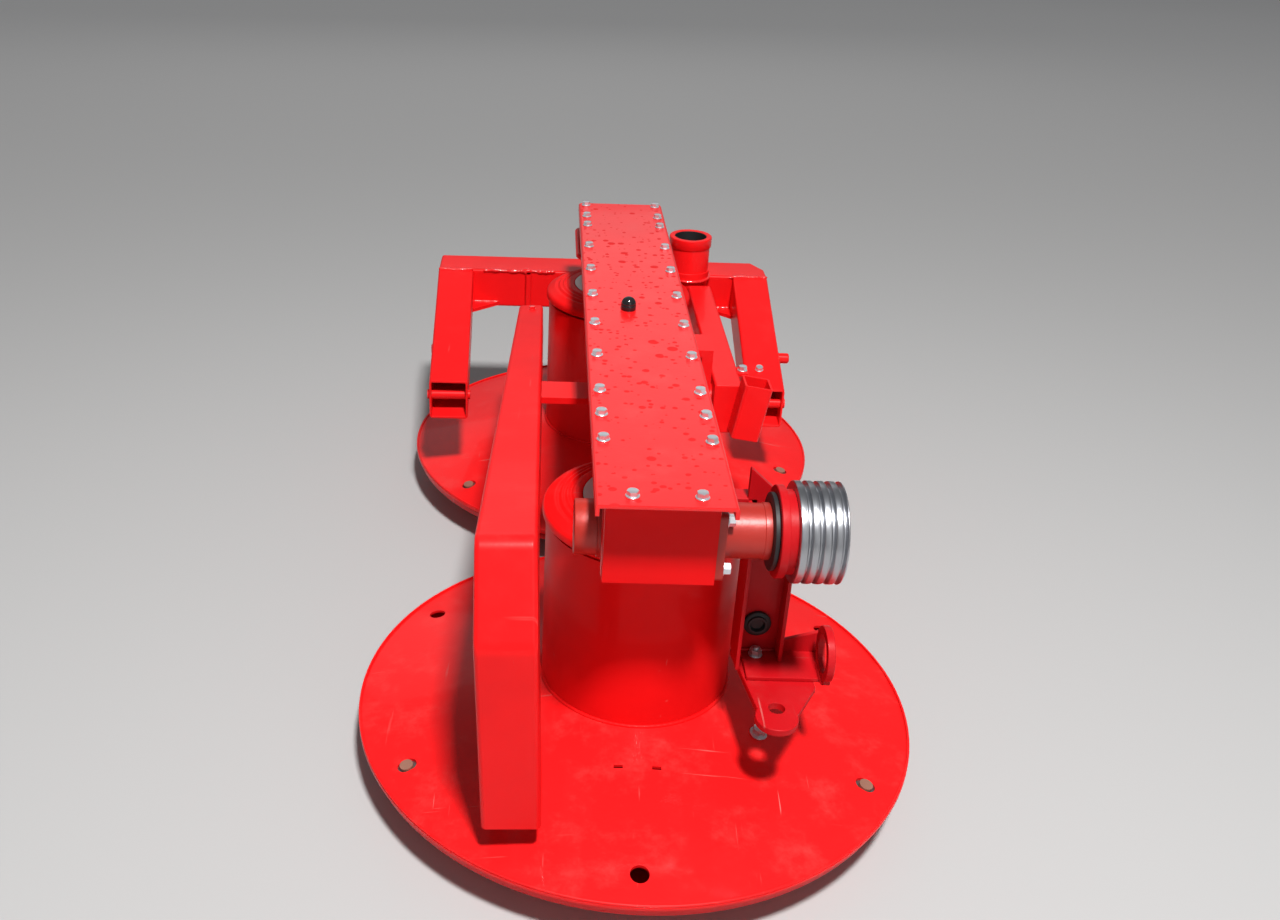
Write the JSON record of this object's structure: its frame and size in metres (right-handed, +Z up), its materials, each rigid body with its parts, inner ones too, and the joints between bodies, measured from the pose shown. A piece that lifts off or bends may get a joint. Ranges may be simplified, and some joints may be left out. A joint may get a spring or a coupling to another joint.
{
  "type": "two-drum rotary mower",
  "caption": "Mounted mower whose two drums carry conical cutting discs over free-turning sliding dishes, under a long gear beam with a belt pulley, lift arm and hitch frame.",
  "frame": {"origin": "on the ground midway between the two drum axes", "axes": "+Y along the gear beam from the pulley end to the hitch crossbeam, +X towards the pulley, +Z up"},
  "size_m": [0.784, 1.609, 0.5593],
  "materials": {
    "red_paint": "gloss",
    "primer_paint": "satin",
    "bare_steel": "satin",
    "spring_steel": "satin",
    "brown_steel": "matte",
    "turned_steel": "polished",
    "black_plastic": "gloss",
    "black_rubber": "matte"
  },
  "bodies": {
    "gear_beam": {"beam_box": "red_paint", "beam_end_plates": "red_paint", "beam_lid": "red_paint", "breather_plug": "black_plastic", "input_stub": "primer_paint", "bearing_housing": "primer_paint", "seal_ring": "black_rubber", "hanger_channel": "red_paint", "hanger_plug": "black_rubber", "tongue_plate": "red_paint", "tongue_bar": "red_paint", "ring_lug": "red_paint", "grab_loop": "red_paint", "belt_guard": "red_paint", "guard_bracket": "red_paint", "arm_bracket": "red_paint", "hinge_pin": "bare_steel", "near_drum_cover": "red_paint", "far_drum_cover": "red_paint", "near_bearing_hub": "bare_steel", "far_bearing_hub": "bare_steel"},
    "near_drum": {"near_drum_shell": "red_paint", "near_cutting_disc": "red_paint", "near_knife_holders": "spring_steel", "near_knife_bolts": "brown_steel", "near_drum_shaft": "bare_steel"},
    "far_drum": {"far_drum_shell": "red_paint", "far_cutting_disc": "red_paint", "far_knife_holders": "spring_steel", "far_knife_bolts": "brown_steel", "far_drum_shaft": "bare_steel"},
    "near_dish": {"near_sliding_dish": "red_paint"},
    "far_dish": {"far_sliding_dish": "red_paint"},
    "input_pulley": {"vbelt_pulley": "turned_steel", "pulley_hub_ring": "red_paint", "pulley_shaft": "bare_steel"},
    "lift_arm": {"carrying_arm": "red_paint", "pivot_post": "red_paint", "socket_tube": "red_paint"},
    "hitch_frame": {"hitch_crossbeam": "red_paint", "hitch_left_leg": "red_paint", "hitch_right_leg": "red_paint", "pivot_sleeve": "red_paint", "hitch_pins": "red_paint", "hitch_gussets": "red_paint"}
  },
  "joints": [
    {"name": "near_drum_spin", "type": "hinge", "parent": "gear_beam", "child": "near_drum", "pos_m": [0, -0.4125, 0.2], "axis": [0, 0, 1], "continuous": true},
    {"name": "far_drum_spin", "type": "hinge", "parent": "gear_beam", "child": "far_drum", "pos_m": [0, 0.4125, 0.2], "axis": [0, 0, 1], "continuous": true},
    {"name": "near_dish_spin", "type": "hinge", "parent": "near_drum", "child": "near_dish", "pos_m": [0, -0.4125, 0.03], "axis": [0, 0, 1], "continuous": true},
    {"name": "far_dish_spin", "type": "hinge", "parent": "far_drum", "child": "far_dish", "pos_m": [0, 0.4125, 0.03], "axis": [0, 0, 1], "continuous": true},
    {"name": "pulley_spin", "type": "hinge", "parent": "gear_beam", "child": "input_pulley", "pos_m": [0.187, -0.5785, 0.459], "axis": [1, 0, 0], "continuous": true},
    {"name": "arm_lift", "type": "hinge", "parent": "gear_beam", "child": "lift_arm", "pos_m": [0.173, 0.0925, 0.325], "axis": [1, 0, 0], "range_deg": [0, 90]},
    {"name": "hitch_swing", "type": "hinge", "parent": "lift_arm", "child": "hitch_frame", "pos_m": [0.152, 0.5915, 0.32], "axis": [0, 0, 1], "range_deg": [-5, 5]}
  ],
  "couplings": [
    {"joint": "far_drum_spin", "follows": "near_drum_spin", "ratio": -1},
    {"joint": "pulley_spin", "follows": "near_drum_spin", "ratio": 0.55}
  ]
}
